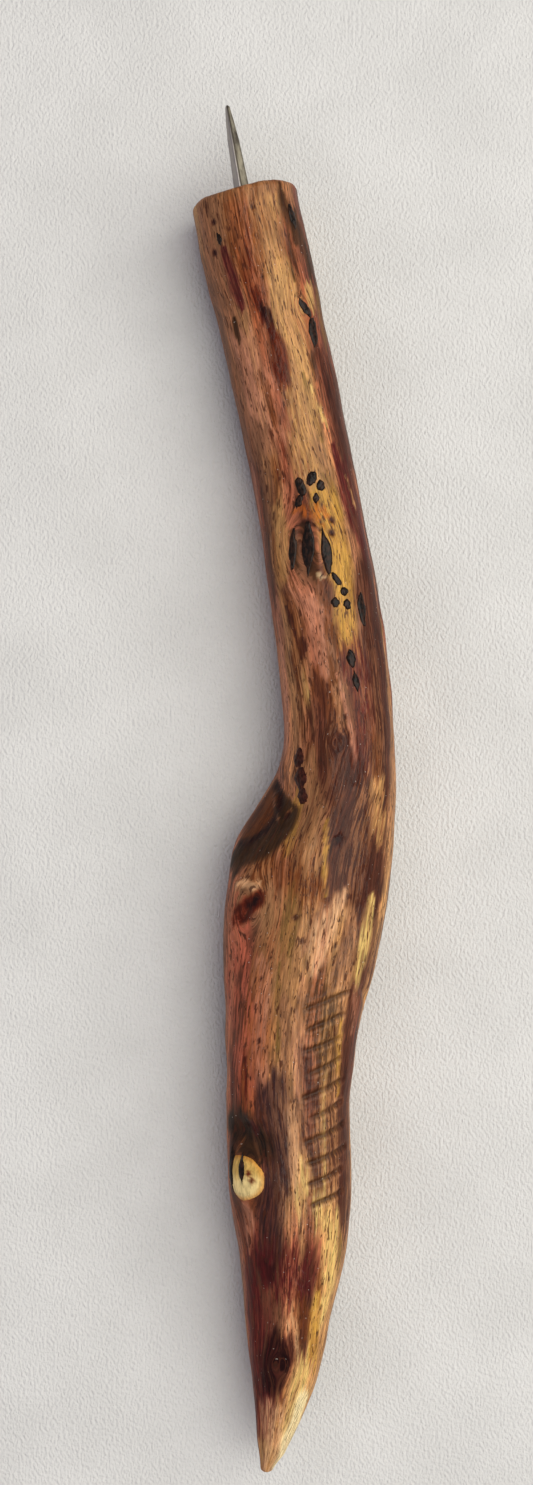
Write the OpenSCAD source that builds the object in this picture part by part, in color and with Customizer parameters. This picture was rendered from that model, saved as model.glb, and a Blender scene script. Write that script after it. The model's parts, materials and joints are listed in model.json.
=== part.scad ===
// Scratch awl with a crooked branch handle, lying on a table.
// +Y runs towards the steel point, +X to the right, +Z up. The origin is under the middle, on the table.

/* [Handle] */
// Length of the wood, from the carved tip to the sawn end
handle_length = 188; // [170:1:205]
// Width of the stem below the sawn end
stem_width = 16; // [14:0.5:18]
// Lean of the sawn face away from square to +Y, in degrees
end_lean = 12; // [8:0.5:16]
// Rings along the loft
ring_count = 84; // [60:2:100]
// Sides of each ring
ring_sides = 36; // [24:2:40]

/* [Steel point] */
// Length of steel that stands out of the wood
point_reach = 13.6; // [8:0.2:20]
// Width across the flats where it leaves the wood
point_width = 1.85; // [1.6:0.05:2.4]
// Lean of the steel away from +Y, in degrees
point_lean = 10; // [8:0.5:14]
// Turn of the four-sided section about its own axis, in degrees
point_turn = 28; // [0:1:90]
// Length of the tang inside the wood
tang_length = 25; // [15:1:26]
// Width of the tang at its inner end
tang_end_width = 1.2; // [0.8:0.1:1.6]

/* [Tang seat] */
// Diameter of the drilled hole
bore_diameter = 4; // [3.8:0.1:5]
// Depth of the drilled hole
bore_depth = 27; // [26:1:32]
// How far the glue stops short of the sawn face
glue_recess = 0.4; // [0.1:0.1:1]

/* [Side branch] */
// Direction that the sawn stub faces, from straight ahead towards the left, in degrees
cut_turn = 55; // [50:1:60]
// How far the sawn stub faces upwards, in degrees
cut_rise = 42; // [36:1:48]
// Height of the stub's outer edge above the table
cut_height = 9; // [8:0.2:10]
// Diameter of the main stem that the saw left whole beside the stub
stem_guard = 16.6; // [16:0.2:17]

/* [Bark and knot] */
// Depth of the bark pieces in the wood
bark_depth = 1.0; // [0.6:0.1:1.4]
// How far the bark pieces stand proud of the wood
bark_proud = 0.15; // [0.05:0.05:0.3]
// Diameter of the pale knot
knot_diameter = 6.6; // [5:0.2:7]
// Depth of the pale knot
knot_depth = 3.5; // [3:0.5:4]

/* [Hidden] */

// The stem as it grew: distance along, centre across, half width, half height, gap under it, squareness, and
// how much lower the left shoulder is. The first station is past the sawn end, which is cut off later.
stations = [
    [  96, -9.4,  8.0, 7.7, 0.3, 2.1, 0.00],
    [  83, -6.8,  8.0, 7.6, 0.1, 2.1, 0.00],
    [  60, -1.6,  7.8, 7.4, 0.0, 2.1, 0.00],
    [  42,  2.0,  7.7, 7.5, 0.2, 2.1, 0.00],
    [  30,  4.0,  8.0, 7.9, 0.4, 2.1, 0.00],
    [  18,  5.7,  8.0, 8.3, 0.2, 2.1, 0.00],
    [   9,  6.5,  8.0, 8.7, 0.0, 2.1, 0.00],
    [   4,  6.4,  8.3, 8.9, 0.0, 2.1, 0.05],
    [  -1,  5.0,  9.9, 9.0, 0.1, 2.0, 0.20],
    [  -7,  3.0, 11.7, 9.1, 0.2, 2.0, 0.32],
    [ -11,  2.4, 12.0, 9.1, 0.3, 2.0, 0.34],
    [ -17,  1.7, 12.0, 9.0, 0.3, 2.0, 0.28],
    [ -26,  0.7, 11.1, 8.8, 0.2, 2.1, 0.16],
    [ -35, -0.3,  9.8, 8.6, 0.0, 2.2, 0.06],
    [ -45, -0.9,  9.0, 8.4, 0.0, 2.3, 0.00],
    [ -57, -0.7,  9.0, 8.0, 0.3, 2.2, 0.00],
    [ -66, -0.3,  8.1, 7.3, 1.0, 2.1, 0.00],
    [ -78, -0.9,  6.2, 5.6, 2.4, 2.0, 0.00],
    [ -88, -1.7,  4.5, 3.8, 3.8, 1.9, 0.00],
    [ -95, -2.8,  2.7, 2.2, 5.2, 1.9, 0.00],
    [-100, -3.9,  0.9, 0.8, 6.6, 2.0, 0.00],
];
ALONG = 0;
CENTRE = 1;
HALF_WIDTH = 2;
HALF_HEIGHT = 3;
GAP = 4;
SQUARENESS = 5;
SHOULDER = 6;

// The table is drawn for a handle 188 mm long on a stem 16 mm wide.
long_scale = handle_length / 188;
wide_scale = stem_width / 16;
end_face = [-7.5 * wide_scale, 86.6 * long_scale, 7.8 * wide_scale];
last = len(stations) - 1;
loft_start = stations[0][ALONG];
loft_end = stations[last][ALONG];

// Which stretch of the table a distance falls in, slope at a station, and a smooth curve through the stations.
function stretch_of(y, i = 0) = i >= last - 1 || y >= stations[i + 1][ALONG] ? i : stretch_of(y, i + 1);
function slope(i, k) =
    let (a = stations[max(i - 1, 0)], b = stations[min(i + 1, last)])
    (b[k] - a[k]) / (b[ALONG] - a[ALONG]);
function hermite(t, v0, v1, m0, m1) =
    (2 * t ^ 3 - 3 * t ^ 2 + 1) * v0 + (t ^ 3 - 2 * t ^ 2 + t) * m0
    + (3 * t ^ 2 - 2 * t ^ 3) * v1 + (t ^ 3 - t ^ 2) * m1;
function at(y, k) =
    let (
        i = stretch_of(y),
        a = stations[i],
        b = stations[i + 1],
        span = b[ALONG] - a[ALONG]
    )
    hermite((y - a[ALONG]) / span, a[k], b[k], slope(i, k) * span, slope(i + 1, k) * span);

// How high the upper left of a section stands against its right, for a place across from -1 to 1.
function shoulder(y, place) =
    let (t = max(-place, 0))
    1 - at(y, SHOULDER) * t ^ 2 * (3 - 2 * t);

// A point of the ring at one distance along, for one angle, and the height of the top surface over a place.
function round_to(c, n) = sign(c) * abs(c) ^ (2 / n);
function ring_point(y, angle) =
    let (
        n = at(y, SQUARENESS),
        place = round_to(cos(angle), n),
        rise = round_to(sin(angle), n)
    )
    [
        (at(y, CENTRE) + at(y, HALF_WIDTH) * place) * wide_scale,
        y * long_scale,
        (at(y, GAP) + at(y, HALF_HEIGHT) * (1 + rise * (rise > 0 ? shoulder(y, place) : 1))) * wide_scale,
    ];
function top_height(x, y) =
    let (
        n = at(y, SQUARENESS),
        place = (x - at(y, CENTRE)) / at(y, HALF_WIDTH)
    )
    at(y, GAP) + at(y, HALF_HEIGHT) * (1 + max(1 - abs(place) ^ n, 0) ^ (1 / n) * shoulder(y, place));

// The rings are even along the handle.
ring_places = [
    for (i = [0 : ring_count - 1]) loft_start + (loft_end - loft_start) * i / (ring_count - 1)
];
ring_points = [
    for (y = ring_places, j = [0 : ring_sides - 1]) ring_point(y, 360 * j / ring_sides)
];
end_ring = (ring_count - 1) * ring_sides;
ring_faces = concat(
    [
        for (i = [0 : ring_count - 2], j = [0 : ring_sides - 1])
            let (a = i * ring_sides + j, b = i * ring_sides + (j + 1) % ring_sides)
            [a, a + ring_sides, b + ring_sides, b]
    ],
    [[for (j = [0 : ring_sides - 1]) j]],
    [[for (j = [ring_sides - 1 : -1 : 0]) end_ring + j]]
);

// The way that the sawn face looks, the way that the steel points, and the middle of the whole awl.
function ahead(lean) = [-sin(lean), cos(lean), 0];
kept = [for (p = ring_points) if ((p - end_face) * ahead(end_lean) <= 0) p[0]];
point_tip = end_face + ahead(point_lean) * point_reach;
middle_x = (min(kept) + max(kept)) / 2;
middle_y = (point_tip[1] + loft_end * long_scale) / 2;

// A corner of the stub's outer edge, the run of the saw cut beside it, and the stem that the saw left whole.
cut_corner = [-2.1, 2.3];
cut_run = 17;
guard_axis = [6.5, 8.8];
cutter = 40;

// Bark pieces: place across, place along, width, length, turn in degrees.
upper_bark = [
    [ -0.4,  82.6, 1.0, 3.2,  10],
    [-10.9,  79.0, 0.7, 1.3,  20],
    [  1.5,  69.2, 1.0, 2.6,  35],
    [  2.7,  66.0, 1.0, 3.2,   0],
];
middle_bark = [
    [ 0.8,  43.3, 1.0, 2.1,  15],
    [ 0.6,  41.2, 0.8, 1.4, -10],
    [ 2.4,  44.5, 1.0, 1.7, -15],
    [ 3.7,  43.4, 0.9, 1.3,  10],
    [ 3.0,  41.6, 0.8, 1.2,   0],
    [-0.4,  34.2, 0.8, 5.0,  -4],
    [ 1.9,  34.6, 1.4, 6.6,   0],
    [ 4.4,  33.6, 1.3, 5.6,   8],
    [ 5.9,  29.9, 0.8, 1.8,  30],
    [ 7.0,  28.2, 1.0, 1.2,  10],
    [ 5.7,  26.6, 1.0, 1.1,   0],
    [ 7.4,  26.4, 0.9, 1.1,  40],
    [ 9.6,  26.0, 1.1, 4.0,   6],
    [ 8.0,  18.6, 0.9, 2.0,  20],
    [ 8.6,  15.4, 0.9, 2.2,  10],
];
heel_bark = [
    [ 0.5,   4.4, 1.4, 2.2,   0],
    [ 0.7,   1.6, 1.6, 2.1,   0],
    [ 0.5,  -0.9, 1.1, 1.4,  20],
];

// The pale knot, and the bark pieces in its rim.
knot_place = [-6.9, -56.4];
knot_bark = [
    [-8.9, -55.0, 0.8, 3.2, 4],
    [-7.4, -54.8, 0.7, 2.2, 4],
];

// The direction that the top surface faces at a place, turned into angles about X and Y.
function tilt_x(x, y) = atan2(top_height(x, y + 0.5) - top_height(x, y - 0.5), 1);
function tilt_y(x, y) = -atan2(top_height(x + 0.5, y) - top_height(x - 0.5, y), 1);

module stem() {
    polyhedron(points = ring_points, faces = ring_faces, convexity = 6);
}

// Puts its children at the middle of the sawn face, with +Z along a line that leans as given.
module at_end_face(lean) {
    translate(end_face) rotate([0, 0, lean]) rotate([-90, 0, 0]) children();
}

module past_end_face() {
    at_end_face(end_lean) translate([-cutter / 2, -cutter / 2, 0]) cube(cutter);
}

// What the saw took off the stub: a block square to the cut, less the main stem.
module past_side_cut() {
    difference() {
        translate([cut_corner[0] * wide_scale, cut_corner[1] * long_scale, cut_height * wide_scale])
            rotate([0, 0, 90 + cut_turn])
                rotate([0, 90 - cut_rise, 0])
                    translate([-cutter / 2, 0, 0]) cube([cutter, cut_run * long_scale, cutter]);
        translate([guard_axis[0] * wide_scale, cutter / 2, guard_axis[1] * wide_scale])
            rotate([90, 0, 0]) cylinder(h = 2 * cutter, d = stem_guard * wide_scale, $fn = 72);
    }
}

// An oval plug standing square to the top surface.
module oval_plug(piece, proud, depth, sides = 20) {
    x = piece[0];
    y = piece[1];
    translate([x * wide_scale, y * long_scale, top_height(x, y) * wide_scale])
        rotate([tilt_x(x, y), tilt_y(x, y), 0])
            rotate([0, 0, piece[4]])
                translate([0, 0, -depth])
                    linear_extrude(height = depth + proud)
                        polygon([
                            for (i = [0 : sides - 1])
                                [cos(360 * i / sides) * piece[2] / 2, sin(360 * i / sides) * piece[3] / 2]
                        ]);
}

module plugs(pieces, proud = bark_proud) {
    for (piece = pieces) oval_plug(piece, proud, bark_depth);
}

module knot_plug(proud, depth) {
    x = knot_place[0];
    y = knot_place[1];
    translate([x * wide_scale, y * long_scale, top_height(x, y) * wide_scale])
        rotate([tilt_x(x, y), tilt_y(x, y), 0])
            translate([0, 0, -depth])
                cylinder(h = depth + proud, d = knot_diameter, $fn = 48);
}

// Four-sided steel, square in section: place along it from the sawn face, and width across the flats.
function square_ring(width, z) =
    [for (a = [45 : 90 : 315]) [width * cos(a) / sqrt(2), width * sin(a) / sqrt(2), z]];
steel_rings = [
    [-tang_length,                  tang_end_width],
    [0,                             point_width],
    [point_reach * 0.61,            point_width * 0.72],
    [point_reach * 0.83,            point_width * 0.50],
    [point_reach - 0.3,             point_width * 0.29],
    [point_reach - 0.1,             point_width * 0.22],
    [point_reach,                   point_width * 0.12],
];

module steel_shape() {
    rings = len(steel_rings);
    rotate([0, 0, point_turn]) polyhedron(
        points = [for (r = steel_rings) each square_ring(r[1], r[0])],
        faces = concat(
            [
                for (i = [0 : rings - 2], j = [0 : 3])
                    let (a = i * 4 + j, b = i * 4 + (j + 1) % 4)
                    [a, a + 4, b + 4, b]
            ],
            [[0, 1, 2, 3]],
            [[for (j = [3 : -1 : 0]) (rings - 1) * 4 + j]]
        )
    );
}

module in_frame() {
    translate([-middle_x, -middle_y, 0]) children();
}

module handle() {
    color("peru") in_frame() difference() {
        stem();
        past_end_face();
        past_side_cut();
        at_end_face(point_lean) translate([0, 0, -bore_depth])
            cylinder(h = bore_depth + 2, d = bore_diameter, $fn = 48);
        plugs(upper_bark, 2);
        plugs(middle_bark, 2);
        plugs(heel_bark, 2);
        plugs(knot_bark, 2);
        knot_plug(2, knot_depth);
    }
}

module awl_point() {
    color("darkkhaki") in_frame() at_end_face(point_lean) steel_shape();
}

module adhesive_bed() {
    color("wheat") in_frame() at_end_face(point_lean) difference() {
        translate([0, 0, -bore_depth])
            cylinder(h = bore_depth - glue_recess, d = bore_diameter, $fn = 48);
        steel_shape();
    }
}

module encased_knot() {
    color("khaki") in_frame() difference() {
        knot_plug(0.3, knot_depth);
        plugs(knot_bark, 2);
    }
}

module knot_bark_plugs() {
    color("black") in_frame() plugs(knot_bark);
}

module bark_inserts_upper() {
    color("black") in_frame() plugs(upper_bark);
}

module bark_inserts_middle() {
    color("black") in_frame() plugs(middle_bark);
}

module bark_inserts_heel() {
    color("black") in_frame() plugs(heel_bark);
}

handle();
awl_point();
adhesive_bed();
encased_knot();
knot_bark_plugs();
bark_inserts_upper();
bark_inserts_middle();
bark_inserts_heel();
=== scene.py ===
"""The looks of a scratch awl with a crooked branch handle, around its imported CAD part.

Lengths are in millimetres here, and become metres where a mesh is made.
+Y runs towards the steel point, +X to the right, and +Z up from the table.
"""

import json
import math

import bpy
import numpy as np
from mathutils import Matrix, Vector
from mathutils.bvhtree import BVHTree


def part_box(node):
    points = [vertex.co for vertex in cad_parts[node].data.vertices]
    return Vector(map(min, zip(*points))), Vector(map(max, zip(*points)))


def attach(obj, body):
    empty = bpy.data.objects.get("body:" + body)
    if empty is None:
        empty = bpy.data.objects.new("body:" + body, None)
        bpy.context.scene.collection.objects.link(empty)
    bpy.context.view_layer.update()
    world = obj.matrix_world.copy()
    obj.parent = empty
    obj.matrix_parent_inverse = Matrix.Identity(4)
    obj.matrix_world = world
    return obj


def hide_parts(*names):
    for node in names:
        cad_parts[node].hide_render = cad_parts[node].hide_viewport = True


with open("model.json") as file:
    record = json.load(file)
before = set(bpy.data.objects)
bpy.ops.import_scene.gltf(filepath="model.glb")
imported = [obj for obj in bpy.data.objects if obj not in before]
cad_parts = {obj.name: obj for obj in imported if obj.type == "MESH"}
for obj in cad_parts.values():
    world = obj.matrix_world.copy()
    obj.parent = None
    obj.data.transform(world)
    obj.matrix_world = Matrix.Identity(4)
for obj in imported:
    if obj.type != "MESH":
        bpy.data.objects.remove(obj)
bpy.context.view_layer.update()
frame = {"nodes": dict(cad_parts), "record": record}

MM = 0.001
UP = np.array([0.0, 0.0, 1.0])
AHEAD = np.array([0.0, 1.0, 0.0])

# The groups of bark pieces: how many times as long and wide as their CAD solids they are shown, the height of
# their crowns, and which bark they are.
INSERTS = {
    "knot_bark_plugs": (2.0, 0.42, "black"),
    "bark_inserts_upper": (1.25, 0.14, "black"),
    "bark_inserts_middle": (1.25, 0.14, "black"),
    "bark_inserts_heel": (1.45, 0.14, "maroon"),
}

# The wood's mesh: rings along it, points round it, and how far its CAD facets are smoothed away.
RINGS = 610
ROUND = 144
SMOOTHING = 1.1

# The first and last rings' distances from the ends, and the depth from which the rings stand square across.
FIRST_RING = 0.08
LAST_RING = 0.12
STRAIGHTENING = 28.0

# Rays that measure the wood start this far from its middle.
FAR_OUT = 40.0

# How far the sawn end's rim and the tip are rounded.
RIM_RADIUS = 0.8
TIP_ROUNDING = 0.5

# The tip narrows from this place on, over this length and by this share, and reaches this much further.
TIP_START = -97.5
TIP_RUN = 2.5
TIP_NARROWING = 0.35
TIP_REACH = 0.3

# As in the CAD part, the sawn stub faces this many degrees from +Y towards -X, and this many upwards.
STUB_TURN = 55
STUB_RISE = 42

# Where the stub's face is, x and y, and its half sizes.
STUB_PLACE = (-5.4, -3.4)
STUB_HALF_SIZES = (5.2, 4.4)

# The pale knot's half sizes, and how far it is shown from its CAD plug: along, then across.
KNOT_HALF_SIZES = (3.2, 3.9)
KNOT_SHIFT = (0.5, 0.8)

# The knot's dark dots, aside and along from its middle, and their radius.
KNOT_DOTS = [(-1.5, 0.9), (-2.0, -0.1)]
DOT_RADIUS = 0.6

# The height of the knot's crown, the small step at the edge of the knot and the bark, and how deep they go.
KNOT_CROWN = 0.32
PLUG_STEP = 0.06
PLUG_DEPTH = 0.8

# The hatching down the right of the grip: plain slanting strokes, evenly spaced and all one way.
STROKE_COUNT = 10
STROKE_TOP = (4.5, -30)
STROKE_SPACING = 3.2
STROKE_HALF_RUN = 2.3
STROKE_SLOPE = 0.4
STROKE_WANDER = 0.3
CUT_DEPTH = 0.4
BURR_HEIGHT = 0.08

# The steel's arrises reach this share of a sharp corner's reach.
ARRIS_REACH = 0.93

# How much smaller the glue is than the hole that it fills.
GLUE_CLEARANCE = 0.03

# The camera's place in metres and its focal length.
CAMERA_PLACE = (-0.0040, 0.00665, 0.3185)
FOCAL_LENGTH = 51.4

# The even light from all round.
WORLD_COLOUR = (0.94, 0.89, 1.0, 1.0)
WORLD_STRENGTH = 0.40

# The lights aimed at the origin: name, place and size in metres, power in watts, and colour.
LIGHTS = [
    ("window", (0.34, 0.06, 0.56), (0.7, 0.8), 5.6, (1.0, 0.98, 0.88)),
    ("bounce", (-0.7, -0.1, 0.6), (0.6, 0.9), 0.4, (0.90, 0.86, 1.0)),
]

# The clear brushed coat on wood and bark.
COAT = {"Coat Weight": 0.18, "Coat Roughness": 0.1, "Coat IOR": 1.5, "Specular IOR Level": 0.04}

# The sockets of a node that mixes colours.
MIX_FACTOR, MIX_FIRST, MIX_SECOND, MIX_RESULT = 0, 6, 7, 2

# Display colours of the wood's tones, from dark to pale.
TONES = {
    "blackred": (0.20, 0.05, 0.05),
    "bark": (0.20, 0.15, 0.10),
    "umber": (0.30, 0.20, 0.10),
    "slate": (0.30, 0.20, 0.20),
    "plum": (0.35, 0.20, 0.15),
    "wine": (0.40, 0.15, 0.15),
    "mahogany": (0.40, 0.15, 0.05),
    "chestnut": (0.50, 0.30, 0.15),
    "moss": (0.55, 0.45, 0.25),
    "dusk": (0.60, 0.45, 0.35),
    "honey": (0.70, 0.55, 0.40),
    "amber": (0.75, 0.45, 0.15),
    "salmon": (0.80, 0.50, 0.40),
    "rose": (0.80, 0.60, 0.50),
    "tan": (0.80, 0.65, 0.45),
    "ochre": (0.80, 0.65, 0.35),
    "shell": (0.90, 0.75, 0.60),
    "straw": (0.90, 0.80, 0.55),
    "cream": (0.95, 0.90, 0.75),
}

# The clear coat deepens them: the power that a display colour is raised to.
DEEPENING = 1.4

# The wood's figure. Each streak runs between two places on the top, and ragged is how far the grain draws
# its ends out: tone, x, y at one end, x, y at the other, half width, strength, ragged.
FIGURE = [
    # The upper stem.
    ("dusk", -12.4, 83, -6.4, 50, 3.2, 0.85, 0.3),
    ("honey", -8, 86, -3, 85.5, 2.2, 0.8, 0.3),
    ("tan", -4.5, 84, -2, 72, 2.4, 0.8, 0.4),
    ("tan", -1.5, 73, 0.5, 58, 2.6, 0.95, 0.4),
    ("rose", -7.5, 64, -3.5, 50, 2.4, 0.8, 0.4),
    ("straw", 2.2, 73, 2.6, 69, 0.9, 0.7, 0.4),
    ("umber", -2, 86.5, 0.6, 79, 1.0, 0.9, 0.3),
    ("umber", 0.2, 82, 2.6, 75, 1.3, 0.9, 0.3),
    ("umber", -0.6, 79, 0.2, 72, 0.5, 0.8, 0.7),
    ("moss", 3.4, 72, 4.8, 64, 1.0, 0.7, 0.3),
    ("chestnut", -7.2, 83.5, -5.8, 75, 3.0, 0.65, 0.8),
    ("chestnut", -9.4, 85, -7.4, 74, 1.4, 0.85, 0.8),
    ("mahogany", -6.8, 80, -6.2, 71, 0.8, 0.75, 0.8),
    ("wine", -10, 77.5, -7.6, 68.5, 0.8, 0.95, 0.4),
    ("umber", -8.6, 68, -7.9, 64.3, 0.45, 0.85, 0.3),
    ("mahogany", -6, 72, -4.6, 67.5, 0.7, 0.9, 0.3),
    ("blackred", -4.4, 69.5, -3.4, 65.4, 0.8, 0.95, 0.2),
    ("mahogany", -3.6, 66, -0.8, 57, 1.15, 0.97, 0.3),
    ("plum", 3.2, 64, 7, 49, 1.3, 0.85, 0.6),
    ("plum", 5, 61, 8, 48, 1.9, 0.9, 0.5),
    ("moss", 1.8, 58, 3.6, 50, 0.7, 0.7, 0.5),
    ("straw", 2.6, 57, 4.8, 51.5, 0.3, 0.8, 0.3),
    ("umber", 1.6, 64, 3.2, 60, 0.4, 0.7, 0.5),
    ("chestnut", -4.6, 60, -2.4, 50, 0.7, 0.8, 0.9),
    # The ochre hollow half way along.
    ("dusk", -5, 52, -3.2, 39, 1.5, 0.8, 0.4),
    ("tan", 0.5, 56, 2.6, 43, 2.2, 0.9, 0.4),
    ("mahogany", -2.6, 50, -1.4, 43, 0.8, 0.8, 0.9),
    ("tan", -2.6, 40, -1.6, 30, 1.3, 0.85, 0.3),
    ("rose", -6.3, 48, -4.2, 34, 0.6, 0.7, 0.3),
    ("wine", 5.6, 49, 9.6, 35, 1.1, 0.95, 0.4),
    ("wine", 7.6, 46, 10.8, 33, 1.6, 0.85, 0.6),
    ("straw", 7.2, 46, 9.2, 40, 0.2, 0.7, 0.4),
    ("moss", 4.4, 46, 7, 38, 0.7, 0.7, 0.4),
    ("ochre", 4.2, 42, 6.8, 30, 2.2, 0.95, 0.2),
    ("ochre", 6.6, 33, 7.4, 21, 1.7, 0.95, 0.3),
    ("ochre", 8, 22, 9.2, 17, 0.6, 0.8, 0.4),
    ("amber", 0.6, 40, 4.2, 39.4, 1.2, 0.65, 0.4),
    ("dusk", 0.8, 34.5, 1.6, 30, 1.2, 0.85, 0.3),
    ("umber", 1.3, 38.4, 2.8, 30, 1.0, 0.85, 0.5),
    ("umber", -0.5, 37.6, 0.4, 31, 0.6, 0.75, 0.4),
    ("plum", 0.6, 41, 3, 38.4, 0.6, 0.6, 0.7),
    ("cream", 3.2, 30.6, 4.6, 29.9, 0.4, 0.6, 0.2),
    ("rose", -0.6, 29, 4, 24.5, 1.5, 0.8, 0.3),
    ("rose", 2.6, 25, 4.6, 14.5, 1.4, 0.7, 0.5),
    ("chestnut", 4.2, 26, 6.2, 20, 0.8, 0.8, 0.6),
    ("chestnut", 6.8, 20, 8, 16, 0.9, 0.85, 0.5),
    ("blackred", -1, 26, 0.8, 20, 0.55, 0.9, 0.5),
    ("blackred", 0.8, 22.5, 1.8, 18.5, 0.25, 0.8, 0.4),
    # The neck.
    ("rose", -2.6, 28, -1.3, 5, 1.0, 0.8, 0.3),
    ("plum", 10.4, 31, 12, 4, 2.6, 0.85, 0.5),
    ("wine", 8.4, 20, 9.4, 3, 2.0, 0.7, 0.6),
    ("moss", 12.4, 31, 12.6, 23, 0.6, 0.6, 0.3),
    ("chestnut", 5.4, 18, 5.8, 14.5, 0.9, 0.5, 0.5),
    ("chestnut", 3, 15.5, 5, 11, 1.3, 0.85, 0.5),
    ("straw", 1.2, 17, 2.6, 9, 0.5, 0.7, 0.5),
    ("umber", 0.4, 12.5, 2.2, 5, 0.5, 0.85, 0.7),
    ("chestnut", -0.5, 30, 1, 19, 1.4, 0.5, 0.9),
    ("chestnut", 0.4, 18, 1.8, 8, 1.2, 0.6, 0.9),
    ("plum", 3.8, 12, 4.6, 0, 2.4, 0.75, 0.6),
    ("rose", 5.8, 16, 8.6, 1, 0.35, 0.8, 0.2),
    ("chestnut", 11, 9, 11.6, 0, 0.8, 0.7, 0.8),
    # The heel.
    ("chestnut", -1.6, 5, -1, -1, 0.7, 0.6, 0.5),
    ("honey", 1.8, 4, 2.4, -14, 1.6, 0.8, 0.4),
    ("ochre", 0.4, -2, -1, -8, 1.4, 0.75, 0.3),
    ("plum", 6.2, 6, 6.6, -15, 1.9, 0.92, 0.5),
    ("plum", 8.8, 3, 9.6, -16, 2.0, 0.9, 0.5),
    ("tan", 12.4, 2, 12.2, -8, 1.1, 0.85, 0.6),
    ("plum", 12.2, -9, 12.2, -17, 1.1, 0.85, 0.4),
    ("ochre", 4.7, -4, 4.3, -15, 0.35, 0.85, 0.2),
    ("chestnut", -5, -10.6, 3.5, -13.5, 2.4, 0.9, 0.7),
    # Painted shade along the stub's rim, just outside its sawn face.
    ("umber", -8.6, -9.8, -2, -5.2, 1.2, 0.85, 0.3),
    ("bark", -9.4, -10.8, -8, -11.2, 1.2, 0.7, 0.3),
    ("bark", -2.4, -1, -1.8, -4.4, 0.7, 0.9, 0.1),
    ("shell", -8.2, -13.6, -5, -14.4, 0.7, 0.8, 0.2),
    ("salmon", -7.6, -17, -7.8, -24, 2.0, 0.85, 0.5),
    ("mahogany", -7.8, -18.4, -5, -15.6, 1.5, 0.97, 0.1),
    ("blackred", -6.6, -16.6, -5, -15.9, 0.6, 0.9, 0.2),
    ("honey", -2.4, -17, -2, -30, 2.8, 0.85, 0.5),
    ("moss", 0.2, -15, -1.4, -23, 1.2, 0.55, 0.6),
    ("dusk", 3.6, -16.5, 1, -23, 0.6, 0.8, 0.4),
    ("shell", 6.6, -16, 2.4, -25, 1.5, 0.85, 0.6),
    ("dusk", 8.6, -17, 5, -29, 0.9, 0.85, 0.4),
    ("straw", 11, -15.5, 8.8, -28.5, 1.0, 0.95, 0.4),
    ("plum", 12.6, -19, 10.6, -29, 0.5, 0.8, 0.3),
    # The grip.
    ("salmon", -7.8, -23, -7.8, -45, 2.8, 0.85, 0.9),
    ("mahogany", -7.2, -37, -7, -47, 0.7, 0.85, 0.8),
    ("mahogany", -9, -38, -8.8, -45, 0.7, 0.85, 0.7),
    ("rose", -4.6, -24, -4.4, -44, 1.5, 0.7, 0.6),
    ("moss", -2.4, -27, -2.4, -37, 0.4, 0.8, 0.5),
    ("dusk", -1, -29, -1.6, -44, 0.9, 0.8, 0.4),
    ("rose", 1.4, -26, 0.4, -44, 0.9, 0.6, 0.5),
    ("umber", 3.6, -28, 4.6, -40, 2.6, 0.6, 0.6),
    ("ochre", 6.6, -34, 6.4, -43, 0.5, 0.85, 0.5),
    ("rose", 8.8, -29, 8.6, -34, 0.7, 0.7, 0.4),
    ("plum", 1.6, -38, 2.4, -45, 1.2, 0.8, 0.6),
    ("plum", 3.4, -42, 4.6, -56, 2.8, 0.7, 0.6),
    ("straw", 4.2, -40, 4.4, -56, 0.3, 0.7, 0.7),
    ("plum", 8.4, -36, 7.6, -64, 1.7, 0.85, 0.6),
    ("slate", -3.2, -43, -2.8, -56, 2.2, 0.92, 0.4),
    ("shell", -0.3, -44, 0, -58, 0.7, 0.7, 0.4),
    ("bark", -8, -48.5, -4.8, -51, 2.4, 0.97, 0.3),
    ("wine", -6.4, -47.4, -5.4, -49, 0.9, 0.7, 0.2),
    # The whittled end.
    ("straw", 1.6, -55, 4, -63, 1.8, 0.8, 0.7),
    ("slate", -4.0, -57, -3.8, -70, 1.8, 0.92, 0.4),
    ("rose", -7, -60, -6, -67, 1.1, 0.8, 0.6),
    ("plum", 6.6, -56, 6.8, -63, 0.8, 0.8, 0.5),
    ("salmon", 2.6, -62, 3.6, -70, 1.4, 0.6, 0.8),
    ("wine", -4.5, -68.5, 1.8, -70, 3.6, 0.92, 0.6),
    ("blackred", -3.8, -68.5, -3.4, -69, 1.2, 0.7, 0.3),
    ("wine", -5.6, -70, -4.8, -92, 2.6, 0.92, 0.4),
    ("straw", 5.6, -62, 3.8, -76, 1.8, 0.9, 0.6),
    ("moss", 6.9, -64, 6.3, -70, 0.5, 0.7, 0.3),
    ("chestnut", 3.4, -69, 3.6, -74, 0.5, 0.8, 0.6),
    ("ochre", 3, -73, 2.8, -84, 1.0, 0.9, 0.4),
    ("chestnut", 0.8, -72, 1.6, -80, 1.1, 0.8, 0.8),
    ("dusk", -3.4, -74, -3.2, -78, 1.4, 0.6, 0.6),
    ("shell", -0.6, -75, 0.4, -82, 0.7, 0.7, 0.6),
    ("straw", 1.6, -83, -0.6, -94, 1.7, 0.9, 0.5),
    ("blackred", -2.4, -80.5, -2.8, -85.5, 2.3, 0.85, 0.3),
    ("blackred", -1.6, -81.8, -1.3, -84, 0.8, 0.85, 0.1),
    ("shell", -3.4, -90.5, -3.4, -99, 2.0, 0.85, 0.6),
    # Pale whittled wood at the tip, painted paler still as a highlight on its bevel.
    ("cream", 1.2, -89, -2, -98.8, 1.4, 0.97, 0.3),
    # The right flank, darkened over the rest: painted shade that holds down the window light's bright rim
    # along that edge.
    ("umber", 1.4, 84, 6, 62, 1.0, 0.85, 0.4),
    ("plum", 7, 59, 13, 27, 1.4, 0.9, 0.4),
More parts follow.
